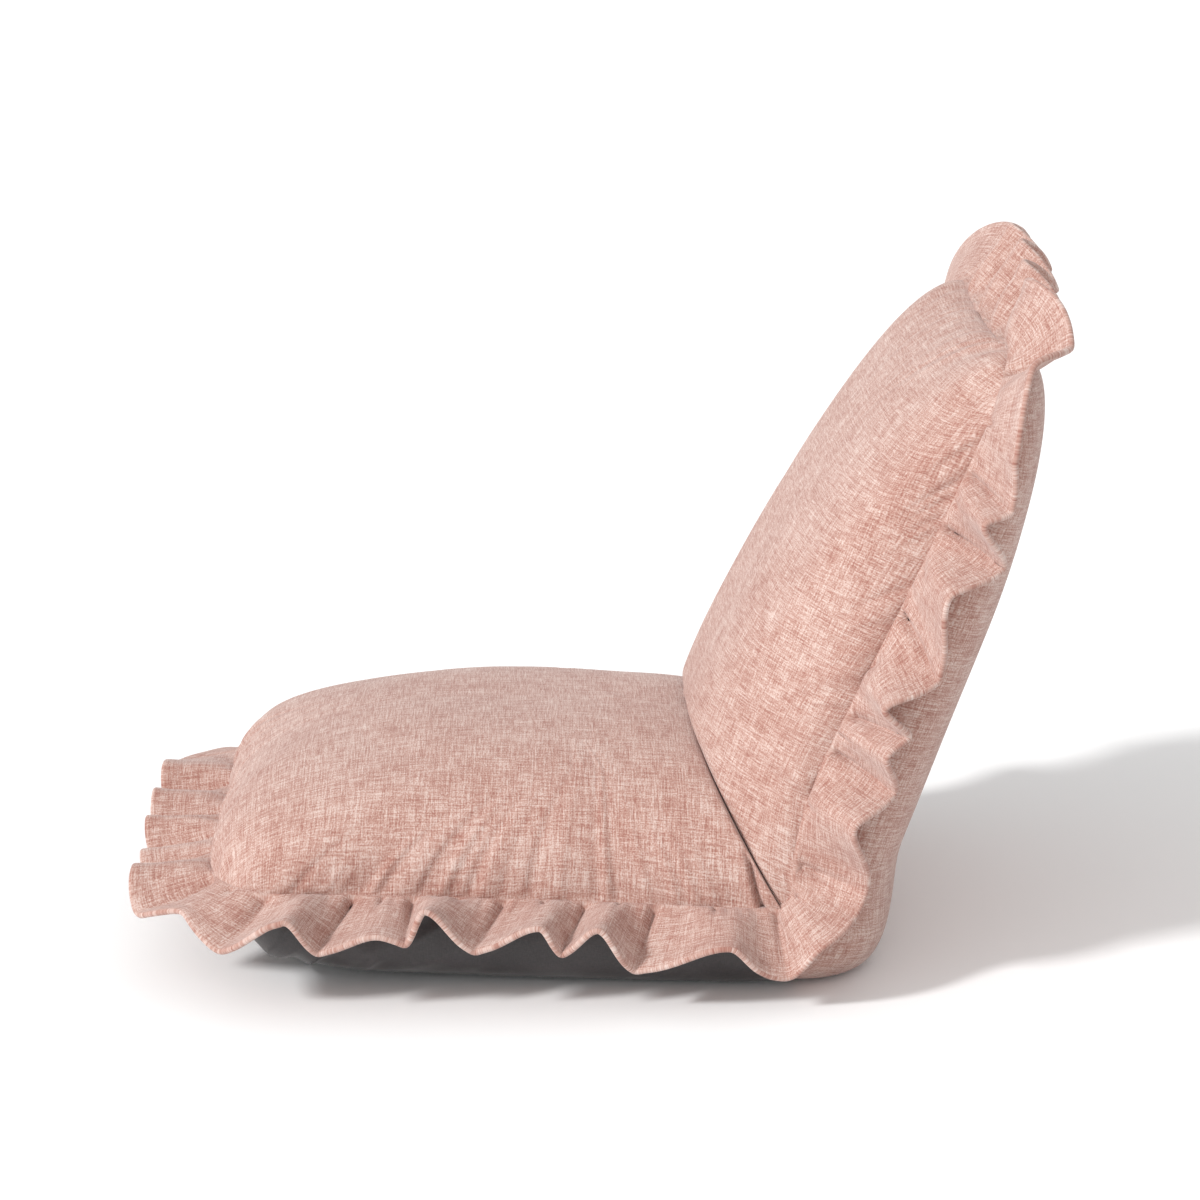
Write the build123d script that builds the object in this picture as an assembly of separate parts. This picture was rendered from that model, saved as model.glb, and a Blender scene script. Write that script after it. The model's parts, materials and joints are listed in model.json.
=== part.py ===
from build123d import *
import os
from math import cos, degrees, pi, radians, sin, sqrt, tan

# Floor chair: a low seat cushion and a reclining back cushion on two ratchet hinges.
# Millimetres. The chair faces -Y, +Z is up, and the origin lies on the floor under the seat.

# Hinge axis, measured from the middle of the seat's underside
hinge_y = 218.0
hinge_z = 62.0

# Seat cushion
seam_width = 450.0  # from seam to seam, on seat and back
seat_depth = 506.0  # front seam to hinge axis
seat_pitch = 2.4  # degrees that the seam rises towards the front
seat_seam_rise = 14.0  # seam over the hinge axis, at the hinge
seat_crown = 124.0
seat_peak = 156.0  # highest place of the crown, ahead of the hinge axis
seat_tuck = 44.0  # run of the crown's curve behind the hinge axis, under the back
seat_corner = 62.0
base_belly = 100.0  # depth of the underside's curve, before the floor flattens it

# Back cushion
back_length = 530.0  # hinge axis to top seam
back_lean = 20.0  # degrees behind upright
back_crown = 126.0
back_peak = 105.0  # thickest place of the front crown, above the hinge axis
back_corner = 66.0
hinge_corner = 24.0  # corners beside the hinges, on seat and back
rear_crown = 98.0
rear_peak = 230.0  # thickest place of the rear crown, above the hinge axis
floor_gap = 4.0  # rear roll over the floor
recess_room = 14.0  # room round the rear roll in the underside's end
crease_lean = 30.6  # degrees ahead of upright, where the two cushions meet
corner_growth = 0.6  # corners grow rounder by this share of the height
draw_fade = 1.7  # times the height's share that the sides lose of their draw
widest_corner = 0.8  # most of the half width that a corner takes
longest_corner = 0.4  # most of the length that a corner takes

# Cloth and filling
cover_wall = 2.0
soft_gap = 0.3  # between soft pieces
side_draw = 7.0  # sides drawn in between the corners
slab_height = 34.0
slab_bevel = 25.0  # degrees, half of the angle between the slabs when folded
slab_end = 40.0  # hinge axis to the slab's near end
slab_margin = 30.0  # side and front seams to the slab's edge
back_slab_margin = 96.0  # top seam to the slab's edge, where the back is thin
slab_corner = 50.0

# Gathered frill
frill_width = 62.0
frill_cloth = 2.0
frill_root = 9.0  # depth sewn into the seam
frill_clear = 0.6  # seam to the first fold
frill_wave = 17.0  # height of a fold at the free edge
frill_pitch = 74.0  # one fold to the next
frill_end = 20.0  # hinge axis to the frill's end
frill_steps = 4  # sections in one fold
frill_taper = 2.0  # folds over which the wave grows from a frill's end
wave_change = 0.22  # share by which folds differ in height
wave_beat = 1.9  # radians from one section to the next, in those heights
reach_change = 0.06  # share by which folds differ in width
reach_beat = 2.7
facing_rise = 1.2  # how early a corner takes the end's droop
frill_least = 0.25  # share of the wave at a frill's end
taper_rise = 1.5
seat_frill_droop = 30.0
front_frill_droop = 16.0
back_frill_droop = 48.0
top_frill_droop = 12.0

# Tube frames
tube_radius = 9.5
tube_wall = 1.2
rail_margin = 30.0  # side seam to the middle of a side rail
rail_bend = 60.0
seat_rail_start = 62.0  # hinge axis to the tube's end
back_rail_start = 56.0
frame_margin = 52.0  # seam to the middle of the frame's cross part
seat_cross_place = 200.0  # hinge axis to the cross tube
back_cross_place = 250.0
belt_width = 46.0
belt_thickness = 2.0
belt_gap = 0.3
seat_belt_places = (128.0, 282.0, 364.0)
back_belt_places = (120.0, 185.0, 315.0, 385.0)

# Ratchet hinges
arm_thickness = 4.0
case_gap = 4.4  # between the two case plates
case_plate = 2.0
case_radius = 31.0
case_tail = 11.0  # half height of the case at its tail
tail_gap = 1.0  # case to the tube's end
tail_step = 1.0  # height that the tang has less than the case's tail
pawl_margin = 2.0  # case round the pawl's hub
gear_tip = 26.0
tooth_depth = 2.4
tooth_pitch = 6.0  # degrees
fold_forward = 60.0  # degrees that the back folds forward from its usual place
fold_backward = 66.0
pawl_pivot_y = -37.0  # from the hinge axis
pawl_pivot_z = 16.0
pawl_reach = 18.0  # degrees below level, where the finger meets the teeth
pawl_hub = 7.0
pawl_finger = 7.0  # width of the finger's end
pawl_release = 12.0  # degrees from the teeth to the lifted place
tooth_gap = 0.3
pivot_radius = 6.0
pin_radius = 3.0
running_fit = 0.05
tang_length = 44.0  # inside the tube
tang_start = 47.0  # hinge axis to the tang
slot_spare = 2.0  # slot past the tang's end
arm_half_width = 8.9
rivet_radius = 2.5
rivet_share = 0.28  # of the tang's length, from its end to a rivet
case_rivet_radius = 2.0
case_rivet_place = 5.0  # tang's start to the case's rivets
rivet_head = 2.0
rivet_edge = 2.0  # head over shank, all round
spring_thickness = 0.8
spring_foot = -2.0  # level of the spring's foot, from the hinge axis
spring_bow = 2.5
spring_hold = 5.0  # tip of the pawl to the spring's end
pocket_room = 4.0  # each side of a hinge, in the filling
pocket_reach = 84.0  # hinge axis to the pocket's end
case_room = 6.0  # round the case, in the filling

# Worked out from the sizes above
half_width = seam_width / 2
rail_x = half_width - rail_margin
rail_span = 2 * rail_x
seam_half_gap = frill_cloth / 2 + soft_gap
roll_drop = hinge_z - floor_gap
recess_radius = roll_drop + recess_room
belt_reach = tube_radius + belt_gap + belt_thickness
slab_bottom = belt_reach + soft_gap
channel_radius = case_radius + case_room
case_half = case_gap / 2 + case_plate
pocket_half = max(case_half + rivet_head, tube_radius) + pocket_room
channel_half = rail_x + pocket_half
gear_root = gear_tip - tooth_depth
contact_angle = 180 + pawl_reach
arm_direction = 90 - back_lean
far = 2000.0  # longer than the chair, for cutting

seat_seam = Plane(
    origin=(0, hinge_y, hinge_z + seat_seam_rise),
    x_dir=(1, 0, 0),
    z_dir=(0, sin(radians(seat_pitch)), cos(radians(seat_pitch))),
)
base_seam = Plane(origin=seat_seam.origin, x_dir=(-1, 0, 0), z_dir=-seat_seam.z_dir)
seat_level = Plane(origin=(0, hinge_y, hinge_z))
back_seam = Plane(
    origin=(0, hinge_y, hinge_z),
    x_dir=(1, 0, 0),
    z_dir=(0, -cos(radians(back_lean)), sin(radians(back_lean))),
)
rear_seam = Plane(origin=back_seam.origin, x_dir=(-1, 0, 0), z_dir=-back_seam.z_dir)


def hinge_plane(x=0.0):
    # across the hinge axis: first direction rearwards, second upwards
    return Plane(origin=(x, hinge_y, hinge_z), x_dir=(0, 1, 0), z_dir=(1, 0, 0))


def polar(radius, angle):
    return (radius * cos(radians(angle)), radius * sin(radians(angle)))


# Cushion forms

def outline_edges(low, high, half, low_corner, high_corner, draw):
    # round-cornered outline, clockwise from the low end's right corner;
    # each side is an arc that is drawn in by the given depth at its middle
    bend_share = 1 - sqrt(0.5)
    low_bend = low_corner * bend_share
    high_bend = high_corner * bend_share
    middle = (low + high) / 2
    edges = [
        ThreePointArc((half - low_corner, low), (0, low + draw), (low_corner - half, low)),
        ThreePointArc((low_corner - half, low), (low_bend - half, low + low_bend), (-half, low + low_corner)),
        ThreePointArc((-half, low + low_corner), (draw - half, middle), (-half, high - high_corner)),
        ThreePointArc(
            (-half, high - high_corner), (high_bend - half, high - high_bend), (high_corner - half, high)
        ),
        ThreePointArc((high_corner - half, high), (0, high - draw), (half - high_corner, high)),
        ThreePointArc(
            (half - high_corner, high), (half - high_bend, high - high_bend), (half, high - high_corner)
        ),
        ThreePointArc((half, high - high_corner), (half - draw, middle), (half, low + low_corner)),
        ThreePointArc((half, low + low_corner), (half - low_bend, low + low_bend), (half - low_corner, low)),
    ]
    return edges


def cushion(plane, peak, low, high, height, corners, powers, skin=0.0):
    # crowned form: outlines shrink towards the peak along a rounded-square curve,
    # length and width by one power and height by the other
    low_power, high_power, side_power, height_power = powers
    sections = []
    for turn in (0, 5, 17, 37, 56, 72, 82):
        across = cos(radians(turn))
        up = (height - skin) * sin(radians(turn)) ** (2 / height_power)
        start = peak - (peak - low - skin) * across ** (2 / low_power)
        end = peak + (high - peak - skin) * across ** (2 / high_power)
        half = (half_width - skin) * across ** (2 / side_power)
        most = min(widest_corner * half, longest_corner * (end - start))
        roundings = [min(corner - skin + corner_growth * up, most) for corner in corners]
        draw = side_draw * (1 - draw_fade * up / height) * half / half_width
        edges = outline_edges(start, end, half, *roundings, draw)
        level = plane.offset(seam_half_gap + up)
        sections.append(level * make_face(edges))
    return loft(sections)


seat_corners = (seat_corner, hinge_corner)
back_corners = (hinge_corner, back_corner)


def seat_form(skin=0.0):
    powers = (2.6, 2.6, 2.6, 2.2)
    return cushion(seat_seam, -seat_peak, -seat_depth, seat_tuck, seat_crown, seat_corners, powers, skin)


def base_form(skin=0.0):
    powers = (2.6, 2.6, 2.6, 5.0)
    return cushion(base_seam, -seat_peak, -seat_depth, seat_tuck, base_belly, seat_corners, powers, skin)


def back_form(skin=0.0):
    powers = (2.2, 1.5, 2.6, 1.7)
    return cushion(back_seam, back_peak, -roll_drop, back_length, back_crown, back_corners, powers, skin)


def rear_form(skin=0.0):
    powers = (5.5, 3.0, 2.6, 2.0)
    return cushion(rear_seam, rear_peak, -roll_drop, back_length, rear_crown, back_corners, powers, skin)


def keep_side(shape, angle, gap, above):
    # keeps what lies on one side of a plane through the hinge axis at this angle from +Y;
    # above keeps the side of smaller angles
    normal = Vector(0, sin(radians(angle)), -cos(radians(angle)))
    side = 1 if above else -1
    origin = Vector(0, hinge_y, hinge_z) + normal * (side * gap)
    plane = Plane(origin=origin, x_dir=(1, 0, 0), z_dir=normal * side)
    return split(shape, bisect_by=plane, keep=Keep.TOP)


crease_angle = 90 + crease_lean


def axis_rod(radius, half_length):
    return hinge_plane() * extrude(Circle(radius), half_length, both=True)


def hinge_pockets(plane, grow=0.0):
    # room in the filling round both hinges, along the rails
    pocket = Box(2 * (pocket_half + grow), 2 * (pocket_reach + grow), 2 * (channel_radius + grow))
    return [plane * Pos(side * rail_x, 0, 0) * pocket for side in (-1, 1)]


def frame_room(plane, length, top=slab_bottom):
    # flat room round a frame and its belts, from the hinge axis to the cross part and as far the other way
    reach = length - frame_margin + tube_radius + soft_gap
    plan = Rectangle(2 * (rail_x + belt_reach + soft_gap), 2 * reach)
    return plane.offset(-slab_bottom) * extrude(plan, slab_bottom + top)


def floor_cut(shape, height):
    plane = Plane(origin=(0, 0, height))
    return split(shape, bisect_by=plane, keep=Keep.TOP)


def slab(plane, toward_low, end, grow=0.0):
    # foam slab on the belts, bevelled at its hinge end so that the two fold together
    slope = radians(slab_bevel)
    run = (slab_height + 2 * grow) / tan(slope)
    sign = -1 if toward_low else 1
    bottom = slab_bottom - grow
    top = slab_bottom + slab_height + grow
    near = slab_end - grow / sin(slope) - grow / tan(slope)
    points = [(near, bottom), (near + run, top), (end + grow, top), (end + grow, bottom)]
    profile = make_face(Polyline(*[(sign * along, up) for along, up in points], close=True))
    side_view = Plane(origin=plane.origin, x_dir=plane.y_dir, z_dir=plane.x_dir)
    bar = side_view * extrude(profile, half_width - slab_margin + grow, both=True)
    plan = RectangleRounded(2 * (half_width - slab_margin + grow), 2 * (end + grow), slab_corner + grow)
    return (bar & plane * extrude(plan, far, both=True)) - hinge_pockets(plane, -grow)


def seat_soft_parts():
    channel = axis_rod(channel_radius, channel_half)
    outer = keep_side(seat_form(), crease_angle, soft_gap, False)
    hollow = keep_side(seat_form(cover_wall), crease_angle, soft_gap + cover_wall, False)
    filling = keep_side(seat_form(cover_wall + soft_gap), crease_angle, 2 * soft_gap + cover_wall, False)
    cover = outer - hollow - channel
    foam_room = slab(seat_level, True, seat_depth - slab_margin, soft_gap)
    wadding = filling - foam_room - channel - hinge_pockets(seat_level)
    return cover, wadding


def base_parts():
    recess = axis_rod(recess_radius, far)
    outer = floor_cut(base_form(), 0)
    hollow = floor_cut(base_form(cover_wall), cover_wall)
    filling = floor_cut(base_form(cover_wall + soft_gap), cover_wall + soft_gap)
    cover = keep_side(outer - hollow - recess, 270, 0, True)
    slab_room = slab(seat_level, True, seat_depth - slab_margin, soft_gap)
    wadding = filling - frame_room(seat_level, seat_depth, far) - slab_room - hinge_pockets(seat_level)
    wadding = keep_side(wadding - axis_rod(recess_radius + soft_gap, far), 270, 0, True)
    return cover, wadding


def back_soft_parts():
    channel = axis_rod(channel_radius, channel_half)
    outer = keep_side(back_form(), crease_angle, soft_gap, True)
    hollow = keep_side(back_form(cover_wall), crease_angle, soft_gap + cover_wall, True)
    filling = keep_side(back_form(cover_wall + soft_gap), crease_angle, 2 * soft_gap + cover_wall, True)
    cover = outer - hollow - channel
    foam_room = slab(back_seam, False, back_length - back_slab_margin, soft_gap)
    wadding = filling - foam_room - frame_room(back_seam, back_length) - channel - hinge_pockets(back_seam)
    return cover, wadding


def rear_parts():
    cover = keep_side(rear_form() - rear_form(cover_wall), 270, 0, False)
    filling = rear_form(cover_wall + soft_gap) - frame_room(back_seam, back_length)
    wadding = filling - axis_rod(channel_radius, channel_half) - hinge_pockets(back_seam)
    wadding = keep_side(wadding, 280, 0, False)
    return cover, wadding


# Gathered frill

def frill(plane, low, high, corners, path_sides, end_cut, side_droop, end_droop):
    # a cloth band sewn into the seam along one side, the closed end and the other side;
    # its folds grow from the seam to the free edge
    edges = outline_edges(low, high, half_width, *corners, side_draw)
    path = Wire([edges[side] for side in path_sides])
    length = path.length
    trim = max(0.0, end_cut) / length
    folds = round(length * (1 - 2 * trim) / frill_pitch)
    steps = frill_steps * folds
    across = Vector(0, 0, 1)
    sections = []
    for step in range(steps + 1):
        share = trim + (1 - 2 * trim) * step / steps
        place = path.position_at(share)
        outward = across.cross(path.tangent_at(share))
        facing = min(1.0, abs(outward.Y) * facing_rise)
        droop = radians(side_droop + (end_droop - side_droop) * facing)
        fall = outward * cos(droop) - across * sin(droop)
        rise = outward * sin(droop) + across * cos(droop)
        from_end = min(step, steps - step) / frill_steps
        taper = min(1.0, frill_least + taper_rise * from_end / frill_taper)
        turn = 2 * pi * step / frill_steps
        fold = frill_wave * taper * sin(turn) * (1 + wave_change * sin(wave_beat * step))
        reach = frill_width * (1 + reach_change * sin(reach_beat * step))
        half = frill_cloth / 2
        sewn = place - outward * frill_root
        root = place + outward * frill_clear
        edge = root + fall * reach + rise * fold
        points = [
            sewn - across * half,
            root - across * half,
            edge - rise * half,
            edge + rise * half,
            root + across * half,
            sewn + across * half,
        ]
        sections.append(Wire.make_polygon([plane.from_local_coords(p) for p in points]))
    return Solid.make_loft(sections, ruled=True)


# Tube frames and belts

def rails(plane, start, end, radius):
    # U of tube: two rails from the hinges and the cross part that joins them
    points = [(rail_x, start), (rail_x, end), (-rail_x, end), (-rail_x, start)]
    path = plane * FilletPolyline(*[(x, y, 0) for x, y in points], radius=rail_bend)
    section = Plane(origin=path @ 0, z_dir=path % 0) * Circle(radius)
    return sweep(section, path)


def rivet_places(start):
    # two rivets through a tube's end, evenly from the ends of the tang
    return [start + share * tang_length for share in (rivet_share, 1 - rivet_share)]


def tube_frame(plane, start, end):
    toward = 1 if end > start else -1
    frame = rails(plane, start, end, tube_radius) - rails(plane, start, end, tube_radius - tube_wall)
    slot = Box(case_gap + 2 * running_fit, 2 * (tang_length + slot_spare), 4 * tube_radius)
    for side in (-1, 1):
        frame -= plane * Pos(side * rail_x, start, 0) * slot
        for place in rivet_places(abs(start)):
            hole = Cylinder(rivet_radius + running_fit, 4 * tube_radius, rotation=(0, 90, 0))
            frame -= plane * Pos(side * rail_x, toward * place, 0) * hole
    return frame


def cross_tube(plane, place, outer_rails):
    tube = Cylinder(tube_radius, rail_span, rotation=(0, 90, 0))
    bore = Cylinder(tube_radius - tube_wall, rail_span, rotation=(0, 90, 0))
    return plane * Pos(0, place, 0) * (tube - bore) - outer_rails


def belts(plane, places):
    # endless elastic belts, each round both side rails
    inner = tube_radius + belt_gap
    loop = SlotCenterToCenter(rail_span, 2 * belt_reach) - SlotCenterToCenter(rail_span, 2 * inner)
    belt = Rot(X=90) * extrude(loop, belt_width / 2, both=True)
    return Compound(children=[plane * Pos(0, place, 0) * belt for place in places])


# Ratchet hinges

def toothed_disc(grow=0.0):
    # saw teeth over the sector that the pawl can meet, on a round root
    turn = degrees(grow / gear_root)
    first = round((contact_angle - fold_forward) / tooth_pitch) - 1
    last = round((contact_angle + fold_backward) / tooth_pitch) + 1
    disc = Circle(gear_root + grow)
    for tooth in range(first, last + 1):
        angle = tooth * tooth_pitch
        points = [
            polar(gear_root - tooth_depth / 2, angle - turn),
            polar(gear_tip + grow, angle - turn),
            polar(gear_root + grow, angle + tooth_pitch),
        ]
        disc += make_face(Polyline(*points, close=True))
    return disc


def toothed_arm(x):
    length = back_rail_start + tang_length
    arm = Rot(Z=arm_direction) * Pos(length / 2, 0) * Rectangle(length, 2 * arm_half_width)
    face = toothed_disc() + arm - Circle(pivot_radius + running_fit)
    plate = hinge_plane(x) * extrude(face, arm_thickness / 2, both=True)
    for place in rivet_places(back_rail_start):
        hole = Cylinder(rivet_radius + running_fit, far, rotation=(0, 90, 0))
        plate -= back_seam * Pos(0, place, 0) * hole
    return plate


def pawl_face():
    # pressed into the teeth: a round hub and a finger that ends in one tooth. The end is an arc
    # round the pawl's own pin, so that it swings past the edge of the tooth that it bears on
    pivot = Pos(pawl_pivot_y, pawl_pivot_z)
    hub = pivot * Circle(pawl_hub)
    tip = Line(polar(gear_root, contact_angle), polar(gear_root + pawl_finger, contact_angle))
    finger = make_hull(hub.edges() + [tip]) - Circle(gear_tip + tooth_gap)
    points = [
        polar(gear_tip + tooth_gap, contact_angle - tooth_pitch),
        polar(gear_root + tooth_gap, contact_angle),
        polar(gear_root + pawl_finger, contact_angle),
        polar(gear_root + pawl_finger, contact_angle - tooth_pitch),
    ]
    edge_y, edge_z = polar(gear_tip, contact_angle)
    swing = sqrt((edge_y - pawl_pivot_y) ** 2 + (edge_z - pawl_pivot_z) ** 2) - tooth_gap
    face = (finger + make_face(Polyline(*points, close=True))) & pivot * Circle(swing)
    return face - pivot * Circle(pin_radius + running_fit)


def lifted(face):
    pivot = Pos(pawl_pivot_y, pawl_pivot_z)
    return pivot * Rot(Z=-pawl_release) * pivot.inverse() * face


def case_rivet_points():
    return [(-tang_start - case_rivet_place, side * case_tail / 2) for side in (-1, 1)]


def case_face():
    tail = tail_gap - seat_rail_start
    pawl_room = Pos(pawl_pivot_y, pawl_pivot_z) * Circle(pawl_hub + pawl_margin)
    tail_edge = Line((tail, -case_tail), (tail, case_tail))
    face = make_hull(Circle(case_radius).edges() + pawl_room.edges() + [tail_edge])
    face -= Circle(pivot_radius)
    face -= Pos(pawl_pivot_y, pawl_pivot_z) * Circle(pin_radius)
    for y, z in case_rivet_points():
        face -= Pos(y, z) * Circle(case_rivet_radius + running_fit)
    return face


def case_plates(x, outward):
    plate = extrude(case_face(), case_plate)
    near = x + case_gap / 2
    away = x - case_gap / 2 - case_plate
    outer, inner = (near, away) if outward > 0 else (away, near)
    return hinge_plane(outer) * plate, hinge_plane(inner) * plate


def tang(x):
    wide = seat_rail_start - tail_gap - tang_start
    length = seat_rail_start + tang_length - tang_start
    head = Pos(-tang_start - wide / 2, 0) * Rectangle(wide, 2 * case_tail - tail_step)
    shank = Pos(-tang_start - length / 2, 0) * Rectangle(length, 2 * arm_half_width)
    face = head + shank
    for y, z in case_rivet_points():
        face -= Pos(y, z) * Circle(case_rivet_radius + running_fit)
    for place in rivet_places(seat_rail_start):
        face -= Pos(-place, 0) * Circle(rivet_radius + running_fit)
    return hinge_plane(x) * extrude(face, case_gap / 2, both=True)


def rivet(radius, half_grip):
    # a shank along X with a head at each end
    shank = Cylinder(radius, 2 * half_grip, rotation=(0, 90, 0))
    head = Cylinder(radius + rivet_edge, rivet_head, rotation=(0, 90, 0))
    place = half_grip + rivet_head / 2
    return shank + Pos(place, 0, 0) * head + Pos(-place, 0, 0) * head


def leaf_spring(x):
    # a thin bent strip from the tang to the back of the lifted pawl
    turn = radians(-pawl_release)
    tip_y, tip_z = polar(gear_root + pawl_finger, contact_angle)
    y = tip_y - pawl_pivot_y
    z = tip_z - pawl_pivot_z
    tip = Vector(
        pawl_pivot_y + y * cos(turn) - z * sin(turn), pawl_pivot_z + y * sin(turn) + z * cos(turn)
    )
    edge = (Vector(pawl_pivot_y - pawl_hub, pawl_pivot_z) - tip).normalized()
    away = Vector(-edge.Y, edge.X)
    end = tip + edge * spring_hold + away * (spring_thickness / 2 + soft_gap)
    start = Vector(-tang_start, spring_foot)
    middle = (start + end) * 0.5 + Vector(0, -spring_bow)
    path = ThreePointArc(start, middle, end)
    strip = trace(path, line_width=spring_thickness)
    strip -= Pos(-tang_start - far / 2, 0) * Rectangle(far, far)
    return hinge_plane(x) * extrude(strip, arm_thickness / 2, both=True)


def main():
    parts = {}
    parts["seat_cover"], parts["seat_wadding"] = seat_soft_parts()
    parts["base_cover"], parts["base_wadding"] = base_parts()
    parts["back_front_cover"], parts["back_front_wadding"] = back_soft_parts()
    parts["back_rear_cover"], parts["back_rear_wadding"] = rear_parts()
    parts["seat_foam"] = slab(seat_level, True, seat_depth - slab_margin)
    parts["back_foam"] = slab(back_seam, False, back_length - back_slab_margin)
    parts["seat_frill"] = frill(
        seat_seam, -seat_depth, seat_tuck, seat_corners, (6, 7, 0, 1, 2),
        seat_tuck - hinge_corner + frill_end, seat_frill_droop, front_frill_droop,
    )
    parts["back_frill"] = frill(
        back_seam, -roll_drop, back_length, back_corners, (2, 3, 4, 5, 6),
        roll_drop - hinge_corner + frill_end, back_frill_droop, top_frill_droop,
    )

    seat_end = frame_margin - seat_depth
    back_end = back_length - frame_margin
    parts["seat_frame"] = tube_frame(seat_level, -seat_rail_start, seat_end)
    parts["back_frame"] = tube_frame(back_seam, back_rail_start, back_end)
    seat_rails = rails(seat_level, -seat_rail_start, seat_end, tube_radius)
    back_rails = rails(back_seam, back_rail_start, back_end, tube_radius)
    parts["seat_cross_tube"] = cross_tube(seat_level, -seat_cross_place, seat_rails)
    parts["back_cross_tube"] = cross_tube(back_seam, back_cross_place, back_rails)
    parts["seat_belts"] = belts(seat_level, [-place for place in seat_belt_places])
    parts["back_belts"] = belts(back_seam, back_belt_places)

    tube_rivet = rivet(rivet_radius, tube_radius + running_fit)
    case_rivet = rivet(case_rivet_radius, case_half)
    seat_rivets = []
    back_rivets = []
    for name, side in (("left", 1), ("right", -1)):
        x = side * rail_x
        parts["hinge_case_outer_" + name], parts["hinge_case_inner_" + name] = case_plates(x, side)
        parts["hinge_tang_" + name] = tang(x)
        parts["toothed_arm_" + name] = toothed_arm(x)
        parts["pivot_rivet_" + name] = hinge_plane(x) * Rot(Y=90) * rivet(pivot_radius, case_half)
        pin = Rot(Y=90) * rivet(pin_radius, case_half)
        parts["pawl_pin_" + name] = hinge_plane(x) * Pos(pawl_pivot_y, pawl_pivot_z) * pin
        pawl = extrude(lifted(pawl_face()), arm_thickness / 2, both=True)
        parts["pawl_" + name] = hinge_plane(x) * pawl
        parts["pawl_spring_" + name] = leaf_spring(x)
        for y, z in case_rivet_points():
            seat_rivets.append(Pos(x, hinge_y + y, hinge_z + z) * case_rivet)
        for place in rivet_places(seat_rail_start):
            seat_rivets.append(seat_level * Pos(x, -place, 0) * tube_rivet)
        for place in rivet_places(back_rail_start):
            back_rivets.append(back_seam * Pos(x, place, 0) * tube_rivet)
    parts["seat_rivets"] = Compound(children=seat_rivets)
    parts["back_rivets"] = Compound(children=back_rivets)

    os.makedirs("parts", exist_ok=True)
    for name, shape in parts.items():
        export_step(shape, "parts/" + name + ".step")


main()
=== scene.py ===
import json
import math

import bmesh
import bpy
import numpy as np
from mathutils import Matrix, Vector


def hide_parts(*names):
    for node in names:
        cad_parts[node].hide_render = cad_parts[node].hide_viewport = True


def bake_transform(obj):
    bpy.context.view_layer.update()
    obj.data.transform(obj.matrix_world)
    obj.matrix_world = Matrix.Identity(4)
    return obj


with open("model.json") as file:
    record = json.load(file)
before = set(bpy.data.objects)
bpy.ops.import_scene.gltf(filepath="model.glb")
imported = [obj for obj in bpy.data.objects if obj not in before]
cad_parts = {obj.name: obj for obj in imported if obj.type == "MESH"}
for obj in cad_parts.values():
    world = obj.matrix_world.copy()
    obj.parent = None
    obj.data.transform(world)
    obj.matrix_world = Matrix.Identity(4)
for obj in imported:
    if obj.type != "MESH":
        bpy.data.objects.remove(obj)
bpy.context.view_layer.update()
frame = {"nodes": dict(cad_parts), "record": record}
scene = bpy.context.scene
print("frame loaded")


# plane through a point that leans about X, with its directions along and up
def tilted(origin, alongY, alongZ):
    along = np.array((0.0, alongY, alongZ))
    across = np.array((1.0, 0.0, 0.0))
    return {"origin": np.array(origin), "along": along, "up": np.cross(across, along)}


# planes that the cushions are sewn on, and the shared sizes, in metres
hinge = np.array((0.0, 0.218, 0.062))
seatSeam = (0.0, 0.218, 0.076)  # the seat's seam above the hinge
seatPitch = math.radians(2.4)
backLean = math.radians(20.0)
creaseLean = math.radians(30.6)
seatPlane = tilted(seatSeam, math.cos(seatPitch), -math.sin(seatPitch))
backPlane = tilted(hinge, math.sin(backLean), math.cos(backLean))
creaseNormal = np.array((0.0, math.cos(creaseLean), math.sin(creaseLean)))
creaseUp = np.array((0.0, -math.sin(creaseLean), math.cos(creaseLean)))
floorNormal = np.array((0.0, 0.0, 1.0))
rearward = np.array((0.0, 1.0, 0.0))
halfWidth = 0.225  # middle to side seam
sideDraw = 0.007  # how far a side is drawn in between its corners
seamGap = 0.0005  # seam to a cushion's first row
bendReach = 0.15  # the bend's reach on each side of the crease
seatOutline = {"low": -0.506, "high": 0.044, "lowCorner": 0.062, "highCorner": 0.024, "lowDraw": -0.3}
backOutline = {"low": -0.058, "high": 0.530, "lowCorner": 0.024, "highCorner": 0.066, "lowDraw": 1.0}


# rises from 0 to 1 between two values: three squares less two cubes of the share
def smoothStep(value, start, end):
    share = np.clip((value - start) / (end - start), 0.0, 1.0)
    return share * share * (3 - 2 * share)


noiseLook = {"cells": 24, "shift": 50.0}


# random values on a lattice, blended by smooth weights: -1 to 1
def softNoise(points, size, seed):
    cells = noiseLook["cells"]
    table = np.random.default_rng(seed).uniform(-1, 1, (cells, cells, cells))
    place = np.asarray(points) / size + noiseLook["shift"]
    cell = np.floor(place).astype(int)
    share = place - cell
    share = share * share * (3 - 2 * share)
    total = 0.0
    for corner in range(8):
        bits = np.array((corner & 1, corner >> 1 & 1, corner >> 2 & 1))
        weight = np.where(bits, share, 1 - share).prod(-1)
        index = (cell + bits) % cells
        total = total + weight * table[index[..., 0], index[..., 1], index[..., 2]]
    return total


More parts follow.
